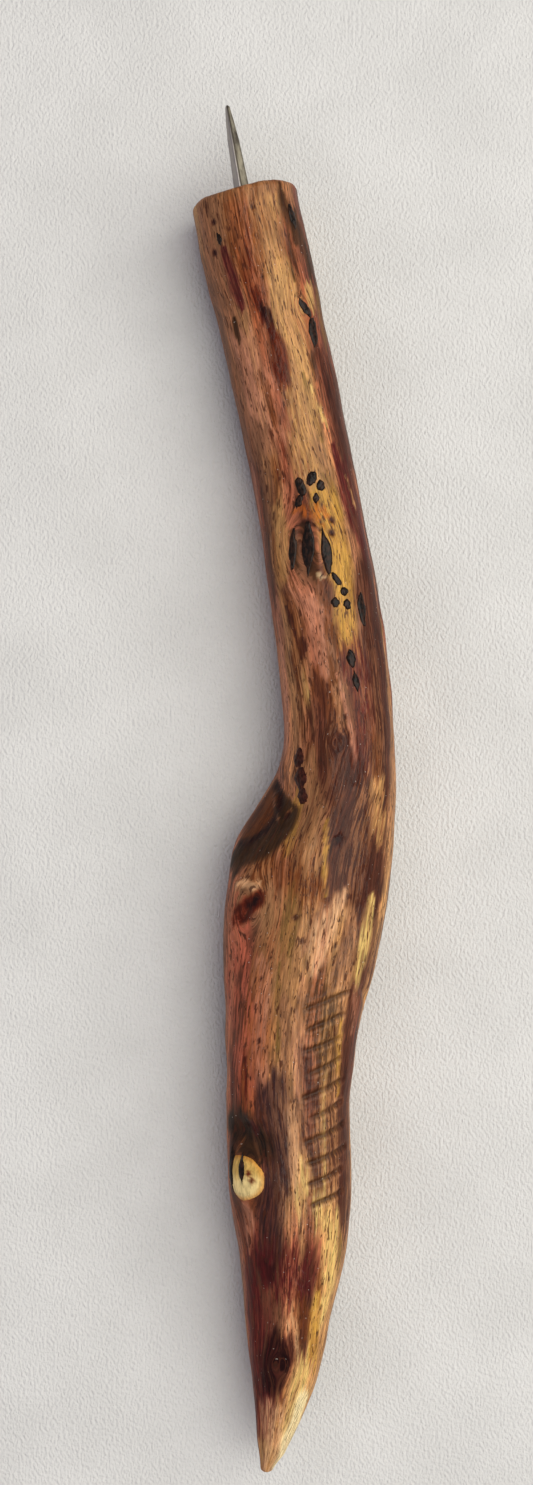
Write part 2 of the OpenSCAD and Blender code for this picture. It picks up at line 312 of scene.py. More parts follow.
    ("wine", 13.4, 27, 15, 6, 1.2, 0.8, 0.6),
    ("plum", 14.6, -11, 12.4, -24, 1.0, 0.85, 0.4),
]

# Knots turn the grain aside: x, y and radius.
KNOTS = [
    (2, 34.5, 3.4),
    (-6.4, -17, 2.6),
    (-7, -55.5, 3.2),
    (-2.2, -83.5, 1.9),
    (6, 6.5, 1.2),
    (1.4, 69, 1.3),
]

# Rises and hollows in the wood: x, y at one end, x, y at the other, half width, height (minus for a hollow).
RELIEF = [
    (-7.8, -49.5, -4.8, -51.0, 2.2, -1.3),
    (-6.4, -47.2, -5.6, -46.8, 0.7, 0.35),
    (-7.9, -14.2, -4.8, -14.2, 0.9, 0.2),
    (-7.2, -17.8, -5.4, -16, 1.2, -0.3),
    (7, -15, 2, -26, 2.0, 0.3),
    (8.6, -17, 5, -30, 1.6, -0.25),
    (0.8, 37, 1.6, 31, 1.3, -0.35),
    (3.2, 37.5, 3.4, 32.5, 0.35, 0.3),
    (-0.6, 29, 4.4, 24.5, 0.7, 0.35),
    (5.8, 16, 8.6, 1, 0.5, 0.25),
    (4.7, -4, 4.3, -15, 0.5, 0.2),
    (9.8, -29, 10.4, -30.5, 0.8, -0.35),
    (-2.5, -1, -2, -4.5, 0.5, 0.3),
]

# Small open pits: x, y and radius.
PITS = [
    (-11.8, 81.5, 0.35),
    (-11.6, 77.4, 0.4),
    (-6, 83.2, 0.25),
    (-4.4, 73.3, 0.2),
    (5.2, 38.4, 0.35),
    (5.4, 36.6, 0.4),
    (3.7, 38.2, 0.22),
    (3.7, 37.1, 0.2),
    (7.3, 10.2, 0.25),
    (0.1, -18.2, 0.35),
    (0.8, -21.4, 0.25),
    (6.1, -22.1, 0.25),
    (-3.4, -24, 0.2),
    (-4.8, -27, 0.2),
    (-5, -35.8, 0.3),
    (-0.9, -3.8, 0.5),
    (-1.7, -8.2, 0.22),
    (6.2, -7, 0.6),
]


# ---------------------------------------------------------------- numbers


def smooth(t):
    """An even step from 0 to 1."""
    t = np.clip(t, 0.0, 1.0)
    return t * t * (3 - 2 * t)


def lattice(i, j, k, seed):
    """A repeatable random number from 0 to 1 for each corner of a lattice."""
    bits = i * 73856093 ^ j * 19349663 ^ k * 83492791 ^ (seed + 1) * 2654435761
    bits = bits & 0xFFFFFFFF
    bits = ((bits ^ (bits >> 15)) * 2246822519) & 0xFFFFFFFF
    bits = ((bits ^ (bits >> 13)) * 3266489917) & 0xFFFFFFFF
    return ((bits ^ (bits >> 16)) & 0xFFFFFF) / 0xFFFFFF


def noise(points, scale, seed):
    """Smooth noise from -1 to 1 at some points, with a number of cells to the millimetre on each axis."""
    points = points * np.array(scale)
    corner = np.floor(points)
    part = smooth(points - corner)
    corner = corner.astype(np.int64)
    total = np.zeros(points.shape[:-1])
    for step in np.ndindex(2, 2, 2):
        share = np.ones(points.shape[:-1])
        for axis in range(3):
            share = share * (part[..., axis] if step[axis] else 1 - part[..., axis])
        i, j, k = (corner[..., axis] + step[axis] for axis in range(3))
        total += share * lattice(i, j, k, seed)
    return total * 2 - 1


def blur(values, sigma, wrap):
    """A Gaussian blur along the first axis, with sigma in samples."""
    reach = int(3 * sigma) + 1
    steps = np.arange(-reach, reach + 1)
    weights = np.exp(-((steps / sigma) ** 2) / 2)
    weights /= weights.sum()
    ends = [(reach, reach)] + [(0, 0)] * (values.ndim - 1)
    padded = np.pad(values, ends, mode="wrap" if wrap else "edge")
    return sum(w * padded[i : i + len(values)] for i, w in enumerate(weights))


def unit(vectors):
    """The vectors made 1 long."""
    return vectors / np.maximum(np.linalg.norm(vectors, axis=-1, keepdims=True), 1e-9)


def line_gap(aside, along, run):
    """How far places are from a line that starts at 0, 0, and how far along it they are, from 0 to 1."""
    share = np.clip((aside * run[0] + along * run[1]) / max(run @ run, 1e-6), 0, 1)
    return np.hypot(aside - share * run[0], along - share * run[1]), share


def blend(first, second, share):
    """Values part of the way from the first to the second."""
    return np.asarray(first) * (1 - share) + np.asarray(second) * share


def turns(sides):
    """Evenly spaced angles round a loop."""
    return np.arange(sides) * 2 * math.pi / sides


def square_to(axis):
    """The two directions square to an axis, one level and one upwards."""
    side = unit(np.cross(axis, UP))
    return side, np.cross(side, axis)


# ---------------------------------------------------------------- meshes


def grid_faces(rows, columns):
    """The quads between rows of points that each run round a loop."""
    faces = []
    for i in range(rows - 1):
        for j in range(columns):
            a = i * columns + j
            b = i * columns + (j + 1) % columns
            faces.append((a, b, b + columns, a + columns))
    return faces


def closed_loft(rows):
    """The points and faces of a lofted solid, its ends closed with a fan to the middle of each end row."""
    count, columns = rows.shape[:2]
    points = rows.reshape(-1, 3)
    faces = grid_faces(count, columns)
    first, last = len(points), len(points) + 1
    tail = (count - 1) * columns
    for j in range(columns):
        k = (j + 1) % columns
        faces.append((k, j, first))
        faces.append((tail + j, tail + k, last))
    return np.vstack([points, rows[0].mean(0), rows[-1].mean(0)]), faces


def with_middles(rows):
    """Values for a loft's points, and for the middles of its ends, which take the first and last values."""
    flat = rows.reshape(-1, rows.shape[-1])
    return np.vstack([flat, flat[0], flat[-1]])


def joined(parts):
    """Several (points, faces) as one."""
    points, faces, start = [], [], 0
    for part_points, part_faces in parts:
        points.append(part_points)
        faces += [tuple(start + v for v in face) for face in part_faces]
        start += len(part_points)
    return np.vstack(points), faces


def piece(name, points, faces, look, slot=None, nodes=()):
    """A smooth-shaded mesh object from points in millimetres. With a slot, it belongs to the awl."""
    mesh = bpy.data.meshes.new(name)
    mesh.from_pydata([tuple(p) for p in np.asarray(points) * MM], [], faces)
    mesh.validate()
    mesh.update()
    for polygon in mesh.polygons:
        polygon.use_smooth = True
    made = bpy.data.objects.new(name, mesh)
    bpy.context.scene.collection.objects.link(made)
    mesh.materials.append(look)
    if slot:
        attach(made, "root")
        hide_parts(*nodes)
    return made


def add_colour(mesh, name, colours):
    """Display colours at the points, stored as the linear colours that shaders use."""
    linear = np.where(colours < 0.04045, colours / 12.92, ((colours + 0.055) / 1.055) ** 2.4)
    stored = mesh.attributes.new(name, "FLOAT_COLOR", "POINT").data
    rgba = np.hstack([linear, np.ones((len(linear), 1))])
    stored.foreach_set("color", rgba.astype(np.float32).ravel())


def add_vector(mesh, name, vectors):
    stored = mesh.attributes.new(name, "FLOAT_VECTOR", "POINT").data
    stored.foreach_set("vector", vectors.astype(np.float32).ravel())


# ---------------------------------------------------------------- the wood's surface


def cad_points(name):
    """A CAD node's points in millimetres."""
    return np.array([tuple(v.co) for v in frame["nodes"][name].data.vertices]) / MM


def cad_surface(names):
    """A search tree over the outside of these CAD nodes."""
    parts = []
    for name in names:
        faces = [tuple(p.vertices) for p in frame["nodes"][name].data.polygons]
        parts.append((cad_points(name), faces))
    points, faces = joined(parts)
    return BVHTree.FromPolygons([tuple(p) for p in points], faces)


class Wood:
    """The handle's outer surface as rings of points, with places on it measured along and round it."""

    def __init__(self):
        mount = next(m for m in frame["record"]["mounts"] if m["name"] == "sawn_end")
        self.end = np.array(mount["pos_m"]) / MM
        self.axis = unit(np.array(mount["axis"], float))
        self.low_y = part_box("handle")[0].y / MM
        self.tree = cad_surface(["handle", "encased_knot", *INSERTS])
        self.angles = turns(ROUND)
        self.measure_bore()
        self.measure()
        self.round_ends()
        self.place_points()

    def measure_bore(self):
        """The drilled hole leans with the steel, so its line and size come from the glue that fills it."""
        offset = cad_points("adhesive_bed") - self.end
        depths = -(offset @ self.axis)
        inner_end = offset[depths > depths.max() - 1].mean(0)
        self.bore_axis = unit(-inner_end)
        depths = -(offset @ self.bore_axis)
        self.bore_depth = depths.max()
        self.bore_radius = np.linalg.norm(offset + np.outer(depths, self.bore_axis), axis=1).max()

    def planes(self, depths):
        """The sideways direction of each ring's plane, which turns from the sawn face to square across."""
        turn = smooth(depths / STRAIGHTENING)[:, None]
        return square_to(unit(blend(self.axis, AHEAD, turn)))[0]

    def radius(self, centre, direction):
        """How far out the surface is from a point inside, or None if that direction misses it."""
        start = centre + direction * FAR_OUT
        hit = self.tree.ray_cast(Vector(start), Vector(-direction))[0]
        return None if hit is None else (np.array(hit) - centre) @ direction

    def measure(self):
        length = self.end[1] - self.low_y
        self.depths = np.linspace(FIRST_RING, length - LAST_RING, RINGS)
        self.across = self.planes(self.depths)
        centres = []
        centre = self.end.copy()
        for depth, side in zip(self.depths, self.across):
            centre = np.array([centre[0], self.end[1] - depth, centre[2]])
            for direction in (side, UP):
                out = self.radius(centre, direction)
                back = self.radius(centre, -direction)
                if out is not None and back is not None:
                    centre = centre + direction * (out - back) / 2
            centres.append(centre)
        spacing = length / RINGS
        self.centres = blur(np.array(centres), 2.5 / spacing, wrap=False)
        self.radii = np.zeros((RINGS, ROUND))
        for i in range(RINGS):
            for j, angle in enumerate(self.angles):
                direction = self.across[i] * math.cos(angle) + UP * math.sin(angle)
                found = self.radius(self.centres[i], direction)
                self.radii[i, j] = self.radii[i - 1, j] if found is None else found
        self.radii = blur(self.radii, SMOOTHING / spacing, wrap=False)
        girth = 2 * math.pi * self.radii.mean() / ROUND
        self.radii = blur(self.radii.T, SMOOTHING / girth, wrap=True).T

    def round_ends(self):
        """Adds close rings at both ends, and draws them in along a quarter circle."""
        last = self.depths[-1]
        rim = RIM_RADIUS * (1 - np.cos(np.linspace(0, math.pi / 2, 9)))
        tip = last - TIP_ROUNDING * (1 - np.cos(np.linspace(0, math.pi / 2, 5)))[::-1]
        middle = self.depths[(self.depths > rim[-1] + 0.1) & (self.depths < tip[0] - 0.1)]
        depths = np.concatenate([rim, middle, tip])

        def again(values):
            flat = values.reshape(RINGS, -1)
            columns = [np.interp(depths, self.depths, column) for column in flat.T]
            return np.array(columns).T.reshape((len(depths),) + values.shape[1:])

        self.centres = again(self.centres)
        self.radii = again(self.radii)
        self.depths = depths
        self.across = self.planes(depths)
        self.centres[:, 1] = self.end[1] - depths
        around = np.stack([np.cos(self.angles), np.sin(self.angles), 0 * self.angles], -1)
        wander = 1 + 0.35 * noise(around, 1.7, 5)
        for i, depth in enumerate(depths):
            short = max(RIM_RADIUS - depth, 0) / RIM_RADIUS
            self.radii[i] -= RIM_RADIUS * wander * (1 - math.sqrt(1 - short**2))
            short = max(depth - (last - TIP_ROUNDING), 0) / TIP_ROUNDING
            self.radii[i] -= 0.9 * TIP_ROUNDING * (1 - math.sqrt(max(1 - short**2, 0)))

    def place_points(self):
        directions = (
            self.across[:, None, :] * np.cos(self.angles)[None, :, None]
            + UP * np.sin(self.angles)[None, :, None]
        )
        self.points = self.centres[:, None, :] + directions * self.radii[:, :, None]
        self.normals = self.find_normals(self.points)
        steps = np.linalg.norm(np.roll(self.points, -1, axis=1) - self.points, axis=2)
        walked = np.cumsum(steps, axis=1) - steps
        girth = steps.sum(1, keepdims=True)
        top = ROUND // 4
        round_place = walked[:, top : top + 1] - walked
        self.place_round = (round_place + girth / 2) % girth - girth / 2
        self.place_along = np.repeat(self.centres[:, 1:2], ROUND, axis=1)
        self.girth = girth

    @staticmethod
    def find_normals(points):
        around = np.roll(points, -1, axis=1) - np.roll(points, 1, axis=1)
        along = np.gradient(points, axis=0)
        return unit(np.cross(around, along))

    def nearest(self, x, y):
        """The indexes of the point on the top nearest to a place."""
        gaps = (self.points[..., 0] - x) ** 2 + (self.points[..., 1] - y) ** 2
        gaps = np.where(self.normals[..., 2] > 0.05, gaps, 1e9)
        return np.unravel_index(np.argmin(gaps), gaps.shape)

    def spot(self, x, y):
        """The place round and along of a place on the top."""
        index = self.nearest(x, y)
        return np.array([self.place_round[index], self.place_along[index]])

    def offset(self, place):
        """How far each point is from a place round the wood, the short way, and along it."""
        gap = self.place_round - place[0]
        return (gap + self.girth / 2) % self.girth - self.girth / 2, self.place_along - place[1]

    def streak(self, start, end, half, ragged, seed):
        """How much each point lies in a streak between two places, from 0 to 1."""
        fibre = noise(self.grain, (1.9, 0.05, 1.9), seed)
        fibre = fibre + 0.6 * noise(self.grain, (4.5, 0.12, 4.5), seed + 1)
        wave = noise(self.grain, (0.5, 0.22, 0.5), seed + 2)
        wave = wave + 0.5 * noise(self.grain, (1.6, 0.5, 1.6), seed + 3)
        aside, along = self.offset(start)
        aside = aside + (ragged * half * 0.6 + 0.12) * wave
        along = along + (ragged * 4.0 + 0.3) * fibre
        gap, share = line_gap(aside, along, end - start)
        taper = 0.55 if half < 1.2 else 0.1
        width = half * (1 - taper * np.abs(2 * share - 1) ** 3)
        soft = 0.28 + 0.32 * ragged
        return smooth((1 + soft - gap / width) / (2 * soft))

    def mound(self, start, end, half):
        """A soft rise round the line between two places, from 0 to 1."""
        gap = line_gap(*self.offset(start), end - start)[0]
        return np.exp(-1.2 * (gap / half) ** 2)

    def follow_grain(self):
        """Straightened places in the wood, in which the grain runs along Y, bent round the knots."""
        aside = np.zeros_like(self.place_round)
        for x, y, radius in KNOTS:
            gap, rise = self.offset(self.spot(x, y))
            aside -= gap * radius**2 / (gap**2 + rise**2 * 0.45 + radius**2 * 0.35) * np.exp(
                -((gap**2 + rise**2) / (4 * radius) ** 2)
            )
        size = 6 + 0.25 * self.radii
        angles = self.angles[None, :] - aside / size
        drift = 0.35 * noise(self.points, 0.09, 40)
        self.grain = np.stack(
            [
                size * np.cos(angles) + drift,
                self.place_along,
                size * np.sin(angles) + drift,
            ],
            -1,
        )


# ---------------------------------------------------------------- shaping and colouring the wood


def carved_strokes():
    """The strokes of the hatching, each a little off its place: x, y at each end."""
    random = np.random.default_rng(5)
    strokes = []
    for row in range(STROKE_COUNT):
        shift, longer = random.uniform(-STROKE_WANDER, STROKE_WANDER, 2)
        x = STROKE_TOP[0] + shift
        y = STROKE_TOP[1] - STROKE_SPACING * row
        run = STROKE_HALF_RUN + longer
        rise = STROKE_SLOPE * run
        strokes.append((x - run, y - rise, x + run, y + rise))
    return strokes


def cut_strokes(wood):
    """The depth of the cut strokes, and the burr that the knife raised beside them, which is also painted
    paler as a highlight.
    """
    depth = np.zeros_like(wood.radii)
    burr_and_glint = np.zeros_like(wood.radii)
    for number, (x0, y0, x1, y1) in enumerate(carved_strokes()):
        start, end = wood.spot(x0, y0), wood.spot(x1, y1)
        wave = 0.12 * noise(wood.points, 0.9, 60 + number)
        aside, along = wood.offset(start)
        gap = line_gap(aside + wave, along + wave, end - start)[0]
        depth = np.maximum(depth, smooth(1.25 - gap / 0.48))
        burr_and_glint = np.maximum(burr_and_glint, np.exp(-(((gap - 0.75) / 0.22) ** 2)))
    worn = 0.6 + 0.5 * noise(wood.points, 1.3, 90)
    return depth * np.clip(worn + 0.3, 0.3, 1), burr_and_glint * np.clip(worn, 0, 1)


def shape_wood(wood):
    """Moves the surface points along their normals, and returns the depth masks that colour needs."""
    lift = np.zeros_like(wood.radii)
    for x0, y0, x1, y1, half, height in RELIEF:
        lift += height * wood.mound(wood.spot(x0, y0), wood.spot(x1, y1), half)
    pits = np.zeros_like(lift)
    for x, y, radius in PITS:
        aside, along = wood.offset(wood.spot(x, y))
        gap = np.hypot(aside, along * 0.75)
        pits = np.maximum(pits, smooth(1.4 - gap / (radius * 1.1)))
    lift -= 0.2 * pits
    cuts, burr_and_glint = cut_strokes(wood)
    lift += BURR_HEIGHT * burr_and_glint - CUT_DEPTH * cuts
    lift += 0.16 * noise(wood.points, 0.22, 11)
    lift += 0.07 * noise(wood.grain, (0.8, 0.1, 0.8), 12)
    lift += 0.035 * noise(wood.grain, (2.4, 0.25, 2.4), 13)
    fade = smooth(wood.radii / 2.5)
    wood.points = wood.points + wood.normals * (lift * fade)[..., None]
    flatten_bevels(wood)
    sharpen_tip(wood)
    wood.points[..., 2] = np.maximum(wood.points[..., 2], 0)
    wood.normals = wood.find_normals(wood.points)
    return pits, cuts, burr_and_glint


def flatten_bevels(wood):
    """Knife facets towards the tip: each takes the top down along a slope, beyond a line on it.

    A slope above 0 lies to the right of its line, and one below 0 to the left.
    """
    bevels = [
        ((3.6, -80), (-2.9, -98.5), 0.75),
        ((6.2, -60), (3.2, -82), 0.28),
        ((-7.4, -60), (-5.2, -92), -0.3),
    ]
    for (x0, y0), (x1, y1), slope in bevels:
        x, y, z = np.moveaxis(wood.points, -1, 0)
        run = (y - y0) / (y1 - y0)
        line_x = x0 + (x1 - x0) * run
        beyond = (x - line_x) * (1 if slope > 0 else -1)
        inside = (run > 0) & (run < 1.2) & (beyond > 0) & (wood.normals[..., 2] > 0.1)
        row_top = np.array([np.interp(lx, *sorted_top(row)) for lx, row in zip(line_x[:, 0], wood.points)])
        limit = row_top[:, None] - abs(slope) * beyond
        ease = smooth(np.minimum(run * 6, 1.0))
        wood.points[..., 2] = np.where(inside & (z > limit), z + (limit - z) * ease * 0.85, z)


def sharpen_tip(wood):
    """Takes the end of the tip, which smoothing left too blunt, in towards its left edge."""
    x, y = wood.points[..., 0], wood.points[..., 1]
    left = x.min(axis=1, keepdims=True)
    share = smooth((TIP_START - y) / TIP_RUN)
    wood.points[..., 0] = left + (x - left) * (1 - TIP_NARROWING * share)
    wood.points[..., 1] = y - TIP_REACH * share


def sorted_top(row):
    """The x and z of a ring's upper half, with x going up."""
    upper = row[: ROUND // 2 + 1]
    order = np.argsort(upper[:, 0])
    return upper[order, 0], upper[order, 2]


def base_figure(wood):
    """The wood's ordinary tones, in long soft streaks all the way round."""
    broad = smooth(0.5 + 0.9 * noise(wood.grain, (0.16, 0.018, 0.16), 21))[..., None]
    narrow = smooth(0.5 + 0.9 * noise(wood.grain, (0.45, 0.04, 0.45), 22))[..., None]
    colour = blend(TONES["dusk"], TONES["honey"], broad)
    colour = blend(colour, TONES["tan"], 0.55 * narrow)
    for tone, strength, seed in (("chestnut", 0.7, 23), ("plum", 0.75, 24), ("salmon", 0.35, 25)):
        streaks = smooth(2.2 * noise(wood.grain, (0.42, 0.028, 0.42), seed) - 0.25)[..., None]
        colour = blend(colour, TONES[tone], strength * streaks)
    return colour


def underside_figure():
    """Streaks for the side that lies on the table, in the same tones and sizes as the top's."""
    random = np.random.default_rng(7)
    count, first_y, stretch = 46, 84, 180
    names = ["tan", "plum", "chestnut", "salmon", "umber", "moss", "ochre", "wine", "dusk", "straw", "rose"]
    streaks = []
    for number in range(count):
        along = first_y - stretch * (number + random.random()) / count
        place = random.uniform(0.28, 0.72)
        length = random.uniform(6, 20)
        tone = names[number * 5 % len(names)]
        streaks.append((tone, place, along, length, random.uniform(0.7, 2.4), random.uniform(0.6, 0.9)))
    return streaks


def colour_wood(wood, pits, cuts, burr_and_glint):
    """The colours of the strong fibres and of the faint ones between, which show less of a ragged streak."""
    ordinary = base_figure(wood)
    layers = [ordinary * 0.94, ordinary * 1.14]

    def lay(tone, mask, ragged=0.0):
        for number, keep in enumerate((1.0, 1 - 0.9 * ragged)):
            layers[number] = blend(layers[number], TONES[tone], (mask * keep)[..., None])

    for number, (tone, share, along, length, half, strength) in enumerate(underside_figure()):
        row = np.argmin(np.abs(wood.centres[:, 1] - along))
        place = wood.girth[row, 0] * share
        start = np.array([place, along + length / 2])
        end = np.array([place, along - length / 2])
        lay(tone, strength * wood.streak(start, end, half, 0.5, 500 + 4 * number), 0.6)
    for number, (tone, x0, y0, x1, y1, half, strength, ragged) in enumerate(FIGURE):
        mask = wood.streak(wood.spot(x0, y0), wood.spot(x1, y1), half, ragged, 1000 + 4 * number)
        lay(tone, strength * mask, ragged)
    lay("blackred", 0.9 * pits)
    lay("umber", 0.6 * cuts)
    # The burrs painted a little paler: a painted highlight along the raised rims.
    lay("shell", 0.2 * burr_and_glint)
    colour_stub(wood, lay)
    return [np.clip(layer, 0.01, 1) ** DEEPENING for layer in layers]


def colour_stub(wood, lay):
    """The sawn stub: a dark face with a thin ring round a reddish core."""
    turn, rise = math.radians(STUB_TURN), math.radians(STUB_RISE)
    level = math.cos(rise)
    facing = np.array([-math.sin(turn) * level, math.cos(turn) * level, math.sin(rise)])
    middle = wood.points[wood.nearest(*STUB_PLACE)]
    flat = smooth((wood.normals @ facing - 0.90) / 0.07)
    offset = wood.points - middle
    near = smooth((9.5 - np.linalg.norm(offset, axis=-1)) / 1.5)
    face = flat * near
    along = unit(np.cross(facing, UP))
    over = np.cross(facing, along)
    half_long, half_short = STUB_HALF_SIZES
    gap = np.hypot(offset @ along / half_long, offset @ over / half_short)
    gap = gap + 0.06 * noise(wood.points, 0.8, 77)
    lay("umber", 0.9 * face)
    lay("chestnut", 0.8 * face * smooth((0.95 - gap) / 0.2))
    lay("plum", 0.5 * face * smooth((0.6 - gap) / 0.4))
    lay("blackred", 0.8 * face * np.exp(-(((gap - 1.0) / 0.12) ** 2)))


# ---------------------------------------------------------------- materials


def fill(tree, made, inputs):
    """Sets a node's inputs, each to a number, a colour or another node's output."""
    for key, value in inputs.items():
        if isinstance(value, bpy.types.NodeSocket):
            tree.links.new(value, made.inputs[key])
        else:
            made.inputs[key].default_value = value


def node(tree, kind, inputs=None, **settings):
    made = tree.nodes.new("ShaderNode" + kind)
    for key, value in settings.items():
        setattr(made, key, value)
    fill(tree, made, inputs or {})
    return made


def material(name):
    """A new material, with its nodes and its shader."""
    made = bpy.data.materials.new(name)
    made.use_nodes = True
    return made, made.node_tree, made.node_tree.nodes["Principled BSDF"]


def stretched_noise(tree, vector, scale, detail=3.0, distortion=0.0):
    """Noise with its own scale on each axis, in cells to the unit of the vector."""
    moved = node(tree, "Mapping", {"Vector": vector, "Scale": scale}, vector_type="POINT")
    inputs = {"Vector": moved.outputs[0], "Scale": 1.0, "Detail": detail, "Distortion": distortion}
    return node(tree, "TexNoise", inputs).outputs["Fac"]


def contrast(tree, value, low, high, out_low=0.0, out_high=1.0):
    """Spreads the values between low and high over a new range."""
    inputs = {"Value": value, "From Min": low, "From Max": high, "To Min": out_low, "To Max": out_high}
    return node(tree, "MapRange", inputs, interpolation_type="SMOOTHSTEP").outputs[0]


def mixed(tree, factor, first, second, mode="MIX"):
    inputs = {MIX_FACTOR: factor, MIX_FIRST: first, MIX_SECOND: second}
    return node(tree, "Mix", inputs, data_type="RGBA", blend_type=mode).outputs[MIX_RESULT]


def combined(tree, first, second, operation="ADD"):
    return node(tree, "Math", {0: first, 1: second}, operation=operation).outputs[0]


def attribute(tree, name, output):
    return node(tree, "Attribute", attribute_name=name).outputs[output]


def bump(tree, height, distance, strength, normal=None):
    inputs = {"Height": height, "Distance": distance, "Strength": strength}
    if normal:
        inputs["Normal"] = normal
    return node(tree, "Bump", inputs).outputs[0]


def object_place(tree):
    return node(tree, "TexCoord").outputs["Object"]


def set_shader(tree, shader, colour, roughness, normal, others):
    """Gives a shader its colour, roughness, bumps and other inputs."""
    fill(tree, shader, {"Base Color": colour, "Roughness": roughness, "Normal": normal} | others)


def wood_material():
    """Fibres, pores and flecks over the figure, with tiny pale dots painted in as glints of light on the
    coat, under an uneven clear coat.
    """
    made, tree, shader = material("lacquered_branch_wood")
    grain = attribute(tree, "grain", "Vector")
    strand = contrast(tree, stretched_noise(tree, grain, (3.4, 0.2, 3.4), 4.0), 0.42, 0.57)
    faint, strong = (attribute(tree, name, "Color") for name in ("faint_figure", "figure"))
    colour = mixed(tree, strand, faint, strong)
    fibre = stretched_noise(tree, grain, (2.8, 0.3, 2.8), 4.0)
    fine = stretched_noise(tree, grain, (8.0, 0.55, 8.0), 3.0)
    colour = mixed(tree, 1.0, colour, contrast(tree, fibre, 0.32, 0.66, 0.74, 1.2), "MULTIPLY")
    colour = mixed(tree, 1.0, colour, contrast(tree, fine, 0.34, 0.66, 0.78, 1.18), "MULTIPLY")
    warm = contrast(tree, stretched_noise(tree, grain, (0.9, 0.12, 0.9), 3.0), 0.52, 0.72, 0.0, 0.5)
    flecks = contrast(tree, stretched_noise(tree, grain, (3.0, 0.5, 3.0), 2.0), 0.59, 0.67, 0.0, 0.85)
    pores = contrast(tree, stretched_noise(tree, grain, (6.0, 1.1, 6.0), 2.0), 0.62, 0.70, 0.0, 0.85)
    # Tiny pale dots painted into the colour as glints of light on the coat.
    painted_glints = contrast(tree, stretched_noise(tree, grain, (3.8, 3.0, 3.8), 0.0), 0.83, 0.88, 0.0, 0.45)
    for spots, tint in (
        (warm, (0.12, 0.045, 0.02, 1.0)),
        (flecks, (0.055, 0.014, 0.006, 1.0)),
        (pores, (0.035, 0.012, 0.006, 1.0)),
        (painted_glints, (0.62, 0.52, 0.44, 1.0)),
    ):
        colour = mixed(tree, spots, colour, tint)
    height = combined(tree, fibre, combined(tree, pores, -0.8, "MULTIPLY"))
    ripple = stretched_noise(tree, object_place(tree), (1300.0, 600.0, 1300.0), 3.0)
    coat = bump(tree, height, 0.00002, 0.5, bump(tree, ripple, 0.0003, 0.8))
    roughness = contrast(tree, fibre, 0.2, 0.8, 0.42, 0.6)
    normal = bump(tree, height, 0.00005, 0.6)
    set_shader(tree, shader, colour, roughness, normal, COAT | {"Coat Normal": coat})
    return made


def bark_material(name, dark, light):
    """Dark bark with grains and lumps, under the same coat as the wood."""
    made, tree, shader = material(name)
    place = object_place(tree)
    grains = stretched_noise(tree, place, (2600.0, 1500.0, 2600.0), 4.0)
    lumps = stretched_noise(tree, place, (1100.0, 700.0, 1100.0), 2.0)
    colour = mixed(tree, contrast(tree, grains, 0.4, 0.68), dark, light)
    roughness = contrast(tree, grains, 0.3, 0.7, 0.25, 0.45)
    normal = bump(tree, combined(tree, grains, lumps), 0.00007, 0.7)
    set_shader(tree, shader, colour, roughness, normal, COAT | {"Coat Normal": normal})
    return made


def knot_material():
    """A pale, fibrous knot, over the colours of its rim and dots."""
    made, tree, shader = material("lacquered_pale_knot")
    grain = attribute(tree, "grain", "Vector")
    colour = attribute(tree, "figure", "Color")
    fibre = stretched_noise(tree, grain, (2.4, 0.7, 2.4), 4.0, 0.4)
    colour = mixed(tree, 1.0, colour, contrast(tree, fibre, 0.3, 0.7, 0.72, 1.2), "MULTIPLY")
    roughness = contrast(tree, fibre, 0.3, 0.7, 0.35, 0.55)
    normal = bump(tree, fibre, 0.00008, 0.6)
    set_shader(tree, shader, colour, roughness, normal, COAT | {"Coat Normal": normal})
    return made


def steel_material():
    """Darkened steel, ground along its length, with a painted reflection lightening its left face and a dark
    line down its middle arris.
    """
    made, tree, shader = material("worn_point_steel")
    grain = attribute(tree, "grain", "Vector")
    scratch = stretched_noise(tree, grain, (14.0, 0.7, 14.0), 3.0)
    blotch = stretched_noise(tree, grain, (1.2, 0.5, 1.2), 3.0)
    dark, pale = (0.06, 0.05, 0.04, 1.0), (0.24, 0.215, 0.16, 1.0)
    colour = mixed(tree, contrast(tree, blotch, 0.35, 0.7), pale, dark)
    colour = mixed(tree, contrast(tree, scratch, 0.5, 0.75, 0.0, 0.5), colour, (0.36, 0.34, 0.27, 1.0))
    across = node(tree, "SeparateXYZ", {0: grain}).outputs["X"]
    off_arris = node(tree, "Math", {0: across}, operation="ABSOLUTE").outputs[0]
    # A painted reflection: the left face is painted lighter and lilac-grey.
    left_face_reflection = contrast(tree, across, -0.25, 0.1, 0.55, 0.0)
    colour = mixed(tree, left_face_reflection, colour, (0.42, 0.39, 0.40, 1.0))
    colour = mixed(tree, contrast(tree, off_arris, 0.05, 0.2, 0.85, 0.0), colour, (0.035, 0.028, 0.02, 1.0))
    roughness = contrast(tree, scratch, 0.3, 0.7, 0.3, 0.5)
    set_shader(tree, shader, colour, roughness, bump(tree, scratch, 0.00002, 0.5), {"Metallic": 0.85})
    return made


def glue_material():
    """Cloudy amber glue."""
    made, tree, shader = material("set_amber_glue")
    place = object_place(tree)
    cloud = stretched_noise(tree, place, (900.0, 900.0, 900.0), 3.0)
    amber, brown = (0.42, 0.24, 0.07, 1.0), (0.26, 0.13, 0.035, 1.0)
    colour = mixed(tree, contrast(tree, cloud, 0.35, 0.65), amber, brown)
    roughness = contrast(tree, cloud, 0.3, 0.7, 0.12, 0.3)
    cloudy = {"Subsurface Weight": 0.15, "Subsurface Scale": 0.001}
    set_shader(tree, shader, colour, roughness, bump(tree, cloud, 0.0001, 0.4), cloudy)
    return made


